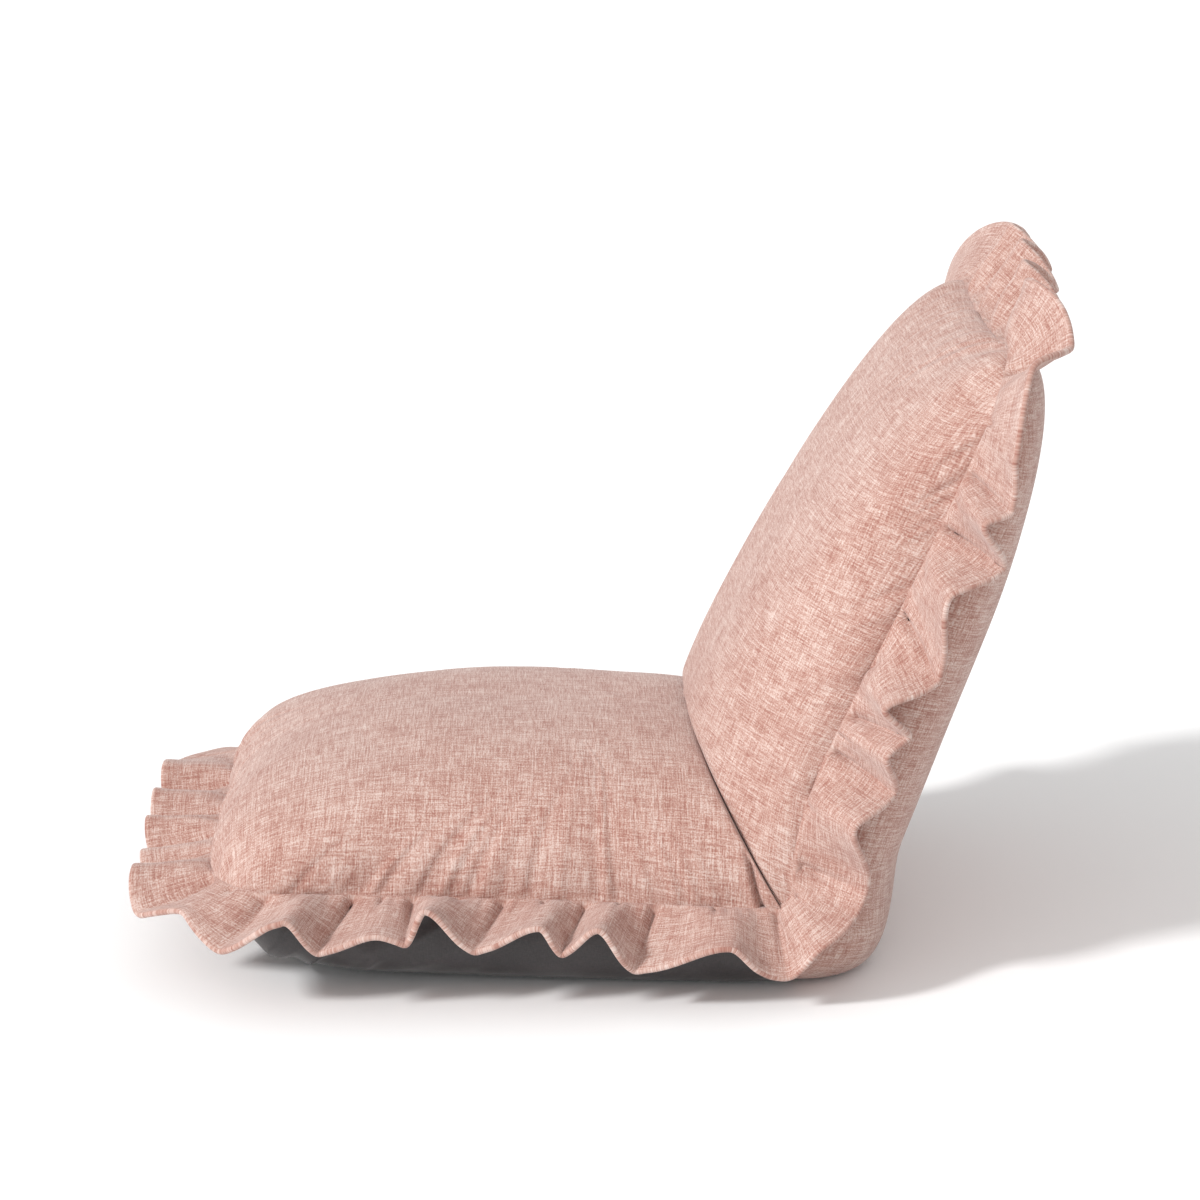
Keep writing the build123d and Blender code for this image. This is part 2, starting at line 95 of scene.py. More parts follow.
# rounded rectangle: runs 0, 2, 4, 6 are sides bowed inwards by a parabola, the odd runs quarter circles;
# place is the run's number plus the share along it
def outline(low, high, half, lowCorner, highCorner, draw, lowDraw, place):
    run = np.floor(place).astype(int) % 8
    f = place - np.floor(place)
    bow = draw * 4 * f * (1 - f)
    turn = f * math.pi / 2
    length = high - highCorner - low - lowCorner
    xs = [
        (half - lowCorner) * (1 - 2 * f),
        lowCorner - half - lowCorner * np.sin(turn),
        bow - half,
        highCorner - half - highCorner * np.cos(turn),
        (half - highCorner) * (2 * f - 1),
        half - highCorner + highCorner * np.sin(turn),
        half - bow,
        half - lowCorner + lowCorner * np.cos(turn),
    ]
    ys = [
        low + lowDraw * bow,
        low + lowCorner - lowCorner * np.cos(turn),
        low + lowCorner + f * length,
        high - highCorner + highCorner * np.sin(turn),
        high - bow,
        high - highCorner + highCorner * np.cos(turn),
        high - highCorner - f * length,
        low + lowCorner - lowCorner * np.sin(turn),
    ]
    return np.choose(run, xs), np.choose(run, ys)


# places round an outline: each run cut into equal shares
def runPlaces(counts):
    return np.concatenate([run + np.arange(n) / n for run, n in enumerate(counts)])


crownLook = {"rowPower": 1.12, "mostOfHalf": 0.8, "mostOfLength": 0.4, "round": 0.6, "drawFade": 1.7}


# crowned cushion: height is sine to a power of the turn from seam to peak,
# length and width are cosine to a power, with rounder corners higher up
def crown(plane, shape, rows, counts):
    look = crownLook
    place = runPlaces(counts)[None, :]
    turn = (np.linspace(0, 1, rows + 1)[:-1] ** look["rowPower"] * math.pi / 2)[:, None]
    c = np.cos(turn)
    s = np.sin(turn)
    up = shape["height"] * s ** (2 / shape["heightPower"])
    peak = shape["peak"]
    low = peak - (peak - shape["low"]) * c ** (2 / shape["lowPower"])
    high = peak + (shape["high"] - peak) * c ** (2 / shape["highPower"])
    half = halfWidth * c ** (2 / shape["sidePower"])
    most = np.minimum(look["mostOfHalf"] * half, look["mostOfLength"] * (high - low))
    lowCorner = np.minimum(shape["lowCorner"] + shape.get("lowRound", look["round"]) * up, most)
    highCorner = np.minimum(shape["highCorner"] + look["round"] * up, most)
    draw = sideDraw * (1 - look["drawFade"] * up / shape["height"]) * half / halfWidth
    x, y = outline(low, high, half, lowCorner, highCorner, draw, shape["lowDraw"], place)
    lift = (up + seamGap) * shape["side"] + 0 * x
    points = plane["origin"] + y[..., None] * plane["along"] + lift[..., None] * plane["up"]
    points[..., 0] += x
    tip = plane["origin"] + peak * plane["along"]
    tip = tip + (shape["height"] + seamGap) * shape["side"] * plane["up"]
    return points, tip


# unit normals of a grid that closes on itself along its columns: cross product of its two directions
def gridNormals(points):
    around = np.roll(points, -1, 1) - np.roll(points, 1, 1)
    inward = np.gradient(points, axis=0)
    normal = np.cross(around, inward)
    return normal / np.maximum(np.linalg.norm(normal, axis=-1, keepdims=True), 1e-12)  # never by zero


# flat pattern of a cushion cover: the place in plan, moved along the seam's outward normal
# by what the way along the cloth is longer than the way in plan
def flatPattern(points, tip, plane):
    rows = np.concatenate([points, np.broadcast_to(tip, (1,) + points.shape[1:])])
    plan = np.stack([rows[..., 0], (rows - tip) @ plane["along"]], -1)
    clothStep = np.linalg.norm(np.diff(rows, axis=0), axis=-1)
    planStep = np.linalg.norm(np.diff(plan, axis=0), axis=-1)
    extra = np.cumsum((clothStep - planStep)[::-1], axis=0)[::-1]
    reach = 3  # columns each way that give the seam's direction
    tangent = np.roll(plan[0], -reach, 0) - np.roll(plan[0], reach, 0)
    normal = np.stack([-tangent[:, 1], tangent[:, 0]], -1)
    normal = normal / np.linalg.norm(normal, axis=-1, keepdims=True)
    normal = normal * np.sign((normal * plan[0]).sum())
    return plan[:-1] + extra[..., None] * normal[None]


# keeps points on one side of a plane: distance becomes half of itself plus its rounded size
def holdBack(points, origin, normal, roundness, gap):
    away = (points - origin) @ normal - gap
    kept = (away + np.sqrt(away**2 + roundness**2)) / 2
    return points + (kept - away)[..., None] * normal


def placeObject(name, data):
    made = bpy.data.objects.new(name, data)
    scene.collection.objects.link(made)
    return made


# mesh of a grid closed along its columns, with an optional point that closes its last row
def gridObject(name, points, flat, tip=None, closedRows=False):
    rows, cols = points.shape[:2]
    r = np.arange(rows if closedRows else rows - 1)[:, None]
    c = np.arange(cols)[None, :]
    nextRow = (r + 1) % rows
    nextCol = (c + 1) % cols
    quads = np.stack([r * cols + c, r * cols + nextCol, nextRow * cols + nextCol, nextRow * cols + c], -1)
    quads = quads.reshape(-1, 4)
    wide = np.concatenate([flat, flat[:, :1]], 1) if flat.shape[1] == cols else flat
    nextFlat = c + 1
    quadFlat = np.stack([wide[r, c], wide[r, nextFlat], wide[nextRow, nextFlat], wide[nextRow, c]], -2)
    corners = [quads.ravel()]
    flats = [quadFlat.reshape(-1, 2)]
    faceSizes = [np.full(len(quads), 4)]
    allPoints = points.reshape(-1, 3)
    if tip is not None:
        last = (rows - 1) * cols
        fan = np.stack([last + c[0], last + nextCol[0], np.full(cols, rows * cols)], -1)
        fanFlat = np.stack([wide[-1, :-1], wide[-1, 1:], np.zeros((cols, 2))], 1)
        corners.append(fan.ravel())
        flats.append(fanFlat.reshape(-1, 2))
        faceSizes.append(np.full(cols, 3))
        allPoints = np.concatenate([allPoints, [tip]])
    corner = np.concatenate(corners)
    faceSize = np.concatenate(faceSizes)
    mesh = bpy.data.meshes.new(name)
    mesh.vertices.add(len(allPoints))
    mesh.vertices.foreach_set("co", allPoints.astype(np.float32).ravel())
    mesh.loops.add(len(corner))
    mesh.loops.foreach_set("vertex_index", corner.astype(np.int32))
    mesh.polygons.add(len(faceSize))
    starts = np.concatenate([[0], np.cumsum(faceSize)[:-1]])
    mesh.polygons.foreach_set("loop_start", starts.astype(np.int32))
    mesh.polygons.foreach_set("use_smooth", np.ones(len(faceSize), bool))
    layer = mesh.uv_layers.new(name="cloth")
    layer.data.foreach_set("uv", np.concatenate(flats).astype(np.float32).ravel())
    mesh.update(calc_edges=True)
    mesh.validate()
    return placeObject(name, mesh)


bowLook = {"depth": 0.027, "peak": 0.125, "power": 1.4, "fade": 0.05, "inner": 0.13, "outer": 0.215}


# the back's side seams bow forward low down: rise and decay of the height above the hinge
def bowForward(points):
    look = bowLook
    off = points - backPlane["origin"]
    y = np.maximum(off @ backPlane["along"], 0.0) / look["peak"]
    bow = look["depth"] * (y * np.exp(1 - y)) ** look["power"]
    near = np.exp(-((off @ backPlane["up"] / look["fade"]) ** 2))
    side = smoothStep(np.abs(points[..., 0]), look["inner"], look["outer"])
    return points + (bow * near * side)[..., None] * backPlane["up"]


# bakes a soft piece's placement into its mesh
def softMove(made):
    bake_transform(made)


# turns the columns round, so that the faces point outwards
def flip(points, flat):
    return points[:, ::-1], flat[:, ::-1]


# node sockets with arithmetic
class Field:
    def __init__(self, tree, socket):
        self.tree = tree
        self.socket = socket

    def node(self, kind, out, inputs, **settings):
        made = self.tree.nodes.new(kind)
        for key, value in settings.items():
            setattr(made, key, value)
        for key, value in inputs.items():
            if isinstance(value, Field):
                self.tree.links.new(value.socket, made.inputs[key])
            else:
                made.inputs[key].default_value = value
        return Field(self.tree, made.outputs[out])

    def maths(self, operation, *values):
        return self.node("ShaderNodeMath", 0, dict(enumerate(values)), operation=operation)

    def __add__(self, other):
        return self.maths("ADD", self, other)

    def __sub__(self, other):
        return self.maths("SUBTRACT", self, other)

    def __rsub__(self, other):
        return self.maths("SUBTRACT", other, self)

    def __mul__(self, other):
        return self.maths("MULTIPLY", self, other)

    __radd__ = __add__
    __rmul__ = __mul__

    def scaled(self, size):
        return self.node("ShaderNodeVectorMath", 0, {0: self, 1: size}, operation="MULTIPLY")

    def noise(self, scale, detail=2.0, rough=0.5):
        inputs = {"Vector": self, "Scale": scale, "Detail": detail, "Roughness": rough}
        return self.node("ShaderNodeTexNoise", "Fac", inputs)

    def spread(self, low, high):
        inputs = {"Value": self, "From Min": low, "From Max": high}
        return self.node("ShaderNodeMapRange", "Result", inputs, clamp=True)

    def mix(self, first, second):
        inputs = {"Factor": self, 6: first, 7: second}
        return self.node("ShaderNodeMix", 2, inputs, data_type="RGBA")


# screen colour of 0 to 255, made linear
def linear(red, green, blue):
    values = np.array((red, green, blue)) / 255
    values = np.where(values < 0.04045, values / 12.92, ((values + 0.055) / 1.055) ** 2.4)
    return tuple(float(v) for v in values) + (1.0,)


def newMaterial(name, **constants):
    made = bpy.data.materials.new(name)
    made.use_nodes = True
    shader = made.node_tree.nodes["Principled BSDF"]
    for key, value in constants.items():
        shader.inputs[key.replace("_", " ")].default_value = value
    return made, shader


def source(made, kind, out, **settings):
    node = made.node_tree.nodes.new(kind)
    for key, value in settings.items():
        setattr(node, key, value)
    return Field(made.node_tree, node.outputs[out])


def clothPlace(made):
    return source(made, "ShaderNodeUVMap", 0, uv_map="cloth")


def objectPlace(made):
    return source(made, "ShaderNodeTexCoord", "Object")


# a finish's dark and light colours, mixed by a mask
def toned(mask, look):
    return mask.mix(linear(*look["dark"]), linear(*look["light"]))


def connect(made, shader, look, color, height, roughness=None):
    links = made.node_tree.links
    links.new(color.socket, shader.inputs["Base Color"])
    if roughness is not None:
        links.new(roughness.socket, shader.inputs["Roughness"])
    inputs = {"Height": height, "Strength": look["bump"], "Distance": look["bumpDepth"]}
    bump = height.node("ShaderNodeBump", 0, inputs)
    links.new(bump.socket, shader.inputs["Normal"])
    return made


noiseMiddle = (0.3, 0.7)  # between these lie most values of a noise node
chenilleLook = {
    "light": (206, 184, 175), "middle": (178, 141, 129), "dark": (150, 101, 88),
    "rough": 0.95, "sheen": 0.2, "sheenRough": 0.6, "bump": 0.35, "bumpDepth": 0.0012, "grainBump": 0.6,
    # scales along and across the threads, and of the mottling
    "along": 55.0, "across": 800.0, "longAlong": 18.0, "longAcross": 330.0,
    "patches": 48.0, "grains": 700.0, "clouds": 11.0,
    # weights in the tone, its middle and its ends
    "weft": 1.3, "warp": 1.1, "longWeft": 0.55, "longWarp": 0.5, "patch": 0.45, "cloud": 0.35, "grain": 1.15,
    "toneMiddle": 2.7, "toneLow": -0.40, "toneHigh": 0.42,
}


# slub chenille: long thin threads both ways over soft mottling
def chenille(name, look):
    made, shader = newMaterial(
        name, Roughness=look["rough"], Sheen_Weight=look["sheen"], Sheen_Roughness=look["sheenRough"]
    )
    uv = clothPlace(made)
    weft = uv.scaled((look["along"], look["across"], 1.0)).noise(1.0, 2.0, 0.6)
    warp = uv.scaled((look["across"], look["along"], 1.0)).noise(1.0, 2.0, 0.6)
    longWeft = uv.scaled((look["longAlong"], look["longAcross"], 1.0)).noise(1.0, 2.0, 0.5)
    longWarp = uv.scaled((look["longAcross"], look["longAlong"], 1.0)).noise(1.0, 2.0, 0.5)
    patch = uv.noise(look["patches"], 3.0, 0.6)
    grain = uv.noise(look["grains"], 1.0, 0.5)
    cloud = uv.noise(look["clouds"], 2.0, 0.5)
    threads = look["weft"] * weft + look["warp"] * warp
    threads = threads + look["longWeft"] * longWeft + look["longWarp"] * longWarp
    mottled = threads + look["patch"] * patch + look["cloud"] * cloud + look["grain"] * grain
    tone = mottled - look["toneMiddle"]
    lower = tone.spread(look["toneLow"], 0.0).mix(linear(*look["dark"]), linear(*look["middle"]))
    color = tone.spread(0.0, look["toneHigh"]).mix(lower, linear(*look["light"]))
    ribs = weft + warp + look["grainBump"] * grain
    return connect(made, shader, look, color, ribs)


weaveLook = {
    "light": (68, 64, 65), "dark": (43, 41, 42), "sheen": 0.15, "sheenRough": 0.5,
    "fine": 900.0, "coarse": 250.0, "clouds": 14.0, "thread": 0.5, "cloud": 0.6,
    "toneLow": 0.55, "toneHigh": 1.05, "rough": 0.46, "roughChange": 0.12, "bump": 0.2, "bumpDepth": 0.0006,
}


# plain dark weave with a soft lustre
def plainWeave(name, look):
    made, shader = newMaterial(name, Sheen_Weight=look["sheen"], Sheen_Roughness=look["sheenRough"])
    uv = clothPlace(made)
    weft = uv.scaled((look["fine"], look["coarse"], 1.0)).noise(1.0, 2.0)
    warp = uv.scaled((look["coarse"], look["fine"], 1.0)).noise(1.0, 2.0)
    threads = weft + warp
    cloud = uv.noise(look["clouds"], 3.0)
    tone = look["thread"] * threads + look["cloud"] * cloud
    color = toned(tone.spread(look["toneLow"], look["toneHigh"]), look)
    roughness = cloud.spread(*noiseMiddle) * look["roughChange"] + look["rough"]
    return connect(made, shader, look, color, threads, roughness)


foamLook = {
    "light": (238, 226, 188), "dark": (196, 178, 128), "rough": 0.95,
    "pores": 500.0, "poreWidth": 0.6, "bump": 0.5, "bumpDepth": 0.001,
}


# open cells
def foamMaterial(look):
    made, shader = newMaterial("foam", Roughness=look["rough"])
    place = objectPlace(made)
    pores = place.node("ShaderNodeTexVoronoi", "Distance", {"Vector": place, "Scale": look["pores"]})
    color = toned(pores.spread(0.0, look["poreWidth"]), look)
    return connect(made, shader, look, color, pores)


elasticLook = {
    "light": (52, 52, 56), "dark": (18, 18, 20), "rough": 0.85,
    "ribs": 140.0, "ribLow": 0.2, "ribHigh": 0.9, "bump": 0.5, "bumpDepth": 0.0008,
}


# ribs across the webbing
def elasticMaterial(look):
    made, shader = newMaterial("elastic", Roughness=look["rough"])
    place = objectPlace(made)
    inputs = {"Vector": place, "Scale": look["ribs"]}
    ribs = place.node("ShaderNodeTexWave", "Fac", inputs, bands_direction="Y")
    color = toned(ribs.spread(look["ribLow"], look["ribHigh"]), look)
    return connect(made, shader, look, color, ribs)


paintLook = {
    "light": (36, 36, 39), "dark": (24, 24, 26), "coat": 0.15, "peel": 650.0, "clouds": 25.0,
    "rough": 0.4, "roughChange": 0.15, "bump": 0.2, "bumpDepth": 0.0004,
}


# powder coat with a fine orange peel
def paintMaterial(look):
    made, shader = newMaterial("framePaint", Coat_Weight=look["coat"])
    place = objectPlace(made)
    peel = place.noise(look["peel"], 2.0)
    color = toned(place.noise(look["clouds"], 3.0).spread(*noiseMiddle), look)
    roughness = peel.spread(*noiseMiddle) * look["roughChange"] + look["rough"]
    return connect(made, shader, look, color, peel, roughness)


zincLook = {
    "light": (196, 197, 192), "dark": (150, 152, 148), "stretch": (220.0, 220.0, 220.0),
    "rough": 0.35, "roughChange": 0.2, "bump": 0.15, "bumpDepth": 0.0003,
}
drawnLook = {
    "light": (214, 214, 212), "dark": (176, 176, 176), "stretch": (900.0, 60.0, 60.0),
    "rough": 0.25, "roughChange": 0.2, "bump": 0.15, "bumpDepth": 0.0003,
}


# bare steel, its grain stretched along the drawing direction
def steelMaterial(name, look):
    made, shader = newMaterial(name, Metallic=1.0)
    grain = objectPlace(made).scaled(look["stretch"]).noise(1.0, 4.0, 0.6)
    color = toned(grain.spread(*noiseMiddle), look)
    roughness = grain.spread(*noiseMiddle) * look["roughChange"] + look["rough"]
    return connect(made, shader, look, color, grain, roughness)


pinkCloth = chenille("pinkChenille", chenilleLook)
greyCloth = plainWeave("greyWeave", weaveLook)
nodeMaterials = {
    "foam": foamMaterial(foamLook),
    "elastic": elasticMaterial(elasticLook),
    "frame_paint": paintMaterial(paintLook),
    "hinge_steel": steelMaterial("zincSteel", zincLook),
    "bright_steel": steelMaterial("drawnSteel", drawnLook),
}
slotOf = {row["node"]: row["material_slot"] for row in frame["record"]["subparts"]}
for nodeName, nodeObject in frame["nodes"].items():
    if slotOf[nodeName] in nodeMaterials:
        nodeObject.data.materials.clear()
        nodeObject.data.materials.append(nodeMaterials[slotOf[nodeName]])
print("materials made")


clothLook = {
    "lumpStart": 0.012, "lumpSize": 0.17, "smallLumpSize": 0.075, "smallLumps": 0.5,
    "tuckPitch": 0.019, "tuckSize": 1.0, "smallTuckSize": 0.45, "smallTucks": 0.6, "tuckStart": 0.006,
    "reachSize": 3.0, "reachChange": 0.5,
}


# lumps of the filling, and gathers that start at the seam and fade upwards:
# noise along the normals, times rise and decay of the way from the seam
def restlessCloth(points, normals, way, look):
    cloth = clothLook
    seed = look["seed"]
    ramp = 1 - np.exp(-way / cloth["lumpStart"])
    bigLumps = softNoise(points, cloth["lumpSize"], seed)
    smallLumps = softNoise(points, cloth["smallLumpSize"], seed + 1)
    lumps = look["lumps"] * (bigLumps + cloth["smallLumps"] * smallLumps)
    around = np.cumsum(np.linalg.norm(np.roll(points[0], -1, 0) - points[0], axis=-1))
    pick = np.stack([around / cloth["tuckPitch"], 0 * around, 0 * around], -1)
    bigTucks = softNoise(pick, cloth["tuckSize"], seed + 2)
    smallTucks = softNoise(pick, cloth["smallTuckSize"], seed + 3)
    tucks = bigTucks + cloth["smallTucks"] * smallTucks
    reach = look["gatherReach"] * (1 + cloth["reachChange"] * softNoise(pick, cloth["reachSize"], seed + 4))
    rise = 1 - np.exp(-way / cloth["tuckStart"])
    gathers = look["gathers"] * tucks[None] * np.exp(-way / reach[None]) * rise
    return points + normals * (lumps * ramp + gathers)[..., None]


underLook = {"depth": 0.003, "fade": 0.03}


# draws a cushion in under the frill: most at the seam, fading along the cloth
def tuckUnder(points, normals, way):
    return points - normals * (underLook["depth"] * np.exp(-way / underLook["fade"]))[..., None]


# way along the cloth from the seam: sum of the steps between rows
def cushionWay(points):
    steps = np.linalg.norm(np.diff(points, axis=0, prepend=points[:1]), axis=-1)
    return np.cumsum(steps, axis=0)


cushionRows = 120
seatCounts = (110, 40, 190, 24, 70, 24, 190, 40)  # columns on each run of the outline
backCounts = (70, 24, 190, 40, 110, 40, 190, 24)
seatLook = {
    **seatOutline, "height": 0.1235, "peak": -0.156, "side": 1, "heightPower": 2.2,
    "lowPower": 2.6, "highPower": 2.6, "sidePower": 2.6, "seed": 11,
    "lumps": 0.0024, "gathers": 0.0038, "gatherReach": 0.045, "crease": 0.0022, "creaseGap": 0.0002,
}
roomLook = {"floor": 0.060, "top": 0.066, "step": 0.09, "reach": 0.03, "inner": 0.203, "outer": 0.213}


# lifts the crease's floor over the hinges, so that they keep room to turn:
# between the sides, heights below the floor are squeezed into a thin step
def roomForHinges(points):
    look = roomLook
    height = (points - hinge) @ creaseUp
    near = np.exp(-((((points - hinge) @ creaseNormal) / look["reach"]) ** 4))
    side = 1 - smoothStep(np.abs(points[..., 0]), look["inner"], look["outer"])
    squeezed = look["floor"] + look["step"] * np.maximum(height, 0.0)
    lifted = np.where(height < look["top"], squeezed, height)
    return points + ((lifted - height) * near * side)[..., None] * creaseUp


pleatLook = {
    "depth": 0.011, "width": 0.0024, "top": 0.085, "fade": 0.03, "inner": 0.17, "outer": 0.2,
    "beside": 0.002, "lean": 0.012, "leanTop": 0.080, "leanLength": 0.055,
}


# one pleat beside the crease at each hinge corner: a bell-shaped groove that leaves the crease downwards
def cornerPleats(points):
    look = pleatLook
    away = (points - hinge) @ creaseNormal
    height = (points - hinge) @ creaseUp
    line = -look["beside"] - look["lean"] * smoothStep(look["leanTop"] - height, 0.0, look["leanLength"])
    side = smoothStep(np.abs(points[..., 0]), look["inner"], look["outer"])
    depth = look["depth"] * side * smoothStep(look["top"] - height, 0.0, look["fade"])
    moved = points.copy()
    moved[..., 0] -= np.sign(points[..., 0]) * depth * np.exp(-(((away - line) / look["width"]) ** 2))
    return moved


def makeSeat():
    look = seatLook
    points, tip = crown(seatPlane, look, cushionRows, seatCounts)
    flat = flatPattern(points, tip, seatPlane)
    points = restlessCloth(points, -gridNormals(points), cushionWay(points), look)
    points = holdBack(points, hinge, -creaseNormal, look["crease"], look["creaseGap"])
    points = roomForHinges(cornerPleats(points))
    points, flat = flip(points, flat)
    made = gridObject("seatCushion", points, flat, tip)
    made.data.materials.append(pinkCloth)
    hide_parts("seat_cover", "seat_wadding")
    softMove(made)


baseLook = {
    **seatOutline, "height": 0.0995, "peak": -0.156, "side": -1, "heightPower": 5.0,
    "lowPower": 2.6, "highPower": 2.6, "sidePower": 2.6, "seed": 21,
    "lumps": 0.0016, "gathers": 0.0014, "gatherReach": 0.03,
    "floorRound": 0.007, "rearRound": 0.006, "rearGap": 0.0004, "tipHeight": 0.0003,
}
wrinkleLook = {
    "height": 0.009, "slant": 0.8, "acrossSize": 0.026, "upSize": 0.1, "alongSize": 0.12,
    "crest": 0.5, "seed": 31, "patchSize": 0.11, "patchLow": -0.35, "patchHigh": 0.3, "patchSeed": 32,
    "floorLow": 0.014, "floorHigh": 0.034, "seamHeight": 0.078, "seamFade": 0.02,
}


# wrinkles of the underside's cloth: sharp slanting ridges where a noise crosses zero, in patches,
# fading towards seam and floor
def baseWrinkles(points, normals):
    look = wrinkleLook
    x, y, z = np.moveaxis(points, -1, 0)
    slant = y - look["slant"] * z
    pick = np.stack([slant / look["acrossSize"], z / look["upSize"], x / look["alongSize"]], -1)
    ridges = look["crest"] - 2 * np.abs(softNoise(pick, 1.0, look["seed"]))
    patchNoise = softNoise(points, look["patchSize"], look["patchSeed"])
    patches = smoothStep(patchNoise, look["patchLow"], look["patchHigh"])
    offFloor = smoothStep(z, look["floorLow"], look["floorHigh"])
    fade = offFloor * smoothStep(look["seamHeight"] - z, 0.0, look["seamFade"])
    return points + normals * (look["height"] * ridges * patches * fade)[..., None]


def makeBase():
    look = baseLook
    points, tip = crown(seatPlane, look, cushionRows, seatCounts)
    flat = flatPattern(points, tip, seatPlane)
    normals = gridNormals(points)
    points = restlessCloth(points, normals, cushionWay(points), look)
    points = tuckUnder(points, normals, cushionWay(points))
    points = baseWrinkles(points, normals)
    points = holdBack(points, hinge, -rearward, look["rearRound"], look["rearGap"])
    points = holdBack(points, np.zeros(3), floorNormal, look["floorRound"], 0.0)
    tip = np.array((tip[0], tip[1], look["tipHeight"]))
    made = gridObject("baseCushion", points, flat, tip)
    made.data.materials.append(greyCloth)
    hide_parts("base_cover", "base_wadding")
    softMove(made)


backLook = {
    **backOutline, "height": 0.1310, "peak": 0.105, "side": 1, "heightPower": 1.7,
    "lowPower": 2.2, "highPower": 1.7, "sidePower": 2.9, "seed": 41,
    "lumps": 0.0024, "gathers": 0.0034, "gatherReach": 0.045, "crease": 0.0022, "creaseGap": 0.0002,
}


def makeBackFront():
    look = backLook
    points, tip = crown(backPlane, look, cushionRows, backCounts)
    flat = flatPattern(points, tip, backPlane)
    points = restlessCloth(points, -gridNormals(points), cushionWay(points), look)
    points = bowForward(points)
    points = holdBack(points, hinge, creaseNormal, look["crease"], look["creaseGap"])
    points = roomForHinges(points)
    points, flat = flip(points, flat)
    made = gridObject("backFrontCushion", points, flat, tip)
    made.data.materials.append(pinkCloth)
    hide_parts("back_front_cover", "back_front_wadding")
    softMove(made)


rearLook = {
    **backOutline, "height": 0.0870, "peak": 0.230, "side": -1, "heightPower": 2.9,
    "lowPower": 10.0, "highPower": 2.0, "sidePower": 3.0, "lowRound": 0.42, "seed": 51,
    "lumps": 0.0016, "gathers": 0.0012, "gatherReach": 0.03,
    "sag": 0.021, "sagTop": 0.115, "sagLength": 0.11, "sagStart": 0.01, "sagEnd": 0.07,
    "floorRound": 0.007, "frontRound": 0.006, "frontGap": 0.0004,
}


# filling that sinks into the rear's low end: grows downwards and away from the seam
def sagBehind(points):
    look = rearLook
    lift = (hinge - points) @ backPlane["up"]
    low = smoothStep(look["sagTop"] - points[..., 2], 0.0, look["sagLength"])
    moved = points.copy()
    moved[..., 1] += look["sag"] * low * smoothStep(lift, look["sagStart"], look["sagEnd"])
    return moved


def makeBackRear():
    look = rearLook
    points, tip = crown(backPlane, look, cushionRows, backCounts)
    flat = flatPattern(points, tip, backPlane)
    normals = gridNormals(points)
    points = restlessCloth(points, normals, cushionWay(points), look)
    points = tuckUnder(points, normals, cushionWay(points))
    points = sagBehind(bowForward(points))
    points = holdBack(points, hinge, rearward, look["frontRound"], look["frontGap"])
    points = holdBack(points, np.zeros(3), floorNormal, look["floorRound"], 0.0)
    made = gridObject("backRearCushion", points, flat, tip)
    made.data.materials.append(pinkCloth)
    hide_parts("back_rear_cover", "back_rear_wadding")
    softMove(made)


seamLook = {
    "sidePoints": 600, "cornerPoints": 120, "endPoints": 200, "bendPoints": 60, "nudge": 1e-9, "step": 0.001,
    "seatEnd": -0.03, "backStart": 0.045, "cornerIn": 0.0015, "cornerBack": 0.222, "cornerHeight": 0.0758,
    "turnBefore": 0.045, "turnAfter": 0.06,
}
frillLook = {
    "width": 0.068, "sewnIn": 0.006, "thin": 0.0030, "thick": 0.0056, "hemStart": 0.7, "hemEnd": 0.97,
    "hemTurns": (25, 55, 90, 125, 155), "hemFlat": 0.003, "columns": 1600, "rows": 26, "rowPower": 1.25,
    "soften": 0.0022, "rootTurn": 1.3, "meanReach": 0.06, "off": 0.0006,
    "pinch": 42.0, "pinchWidth": 0.0055, "pinchFade": 0.3,
    "dip": 0.011, "dipFade": 0.12, "dipStart": 0.03, "dipIn": 0.4, "tuckShare": 0.6, "tuckWidth": 0.004,
    "gathers": 0.0030, "gatherPitch": 0.012, "gatherSize": 1.2, "smallGatherSize": 0.5, "smallGathers": 0.5,
    "gatherFade": 0.22, "gatherStart": 0.05, "seed": 62,
    # how the far side differs from the near one: sine waves in place and in droop
    "farShift": 0.005, "farShiftWave": 37, "farDroop": 5, "farDroopWave": 23,
    # the main folds after the photograph, to 5 mm and 5 degrees, along the seam from the front's middle:
    # crest at the hem, its droop in degrees, low tip at the hem, its droop, the tip's start at the seam
    "sideFolds": (
        (0.165, 0, 0.180, 25, 0.185), (0.205, 20, 0.235, 30, 0.250), (0.265, 0, 0.295, 25, 0.325),
        (0.345, 10, 0.370, 15, 0.375), (0.385, -10, 0.430, 20, 0.455), (0.485, 0, 0.505, 20, 0.525),
        (0.535, 0, 0.570, 35, 0.585), (0.650, 10, 0.690, 40, 0.690), (0.705, 30, 0.745, 70, 0.735),
        (0.800, 30, 0.835, 60, 0.845), (0.870, 30, 0.890, 40, 0.875), (0.910, 10, 0.945, 40, 0.980),
        (1.020, 15, 1.055, 50, 1.060), (1.090, 15, 1.105, 30, 1.110), (1.185, 5, 1.205, 30, 1.205),
    ),
    "topFolds": (
        (1.250, -5, 1.310, 50, 1.310), (1.360, 5, 1.405, 45, 1.405), (1.450, 10, 1.490, 45, 1.490),
        (1.530, 10, 1.560, 30, 1.560),
    ),
    "frontFolds": (
        (-0.110, -5, -0.090, 20, -0.090), (-0.030, -5, 0.0, 15, 0.0), (0.030, 0, 0.055, 25, 0.060),
        (0.090, 10, 0.110, 20, 0.110),
    ),
    # share of the width that shows: place along the seam, share
    "cornerShare": ((0.165, 1), (0.180, 1.1), (0.205, 0.65), (0.235, 1)),
    "topShare": ((1.225, 1), (1.260, 0.8), (1.310, 0.85), (1.360, 0.95), (1.470, 1.1), (1.610, 1)),
}


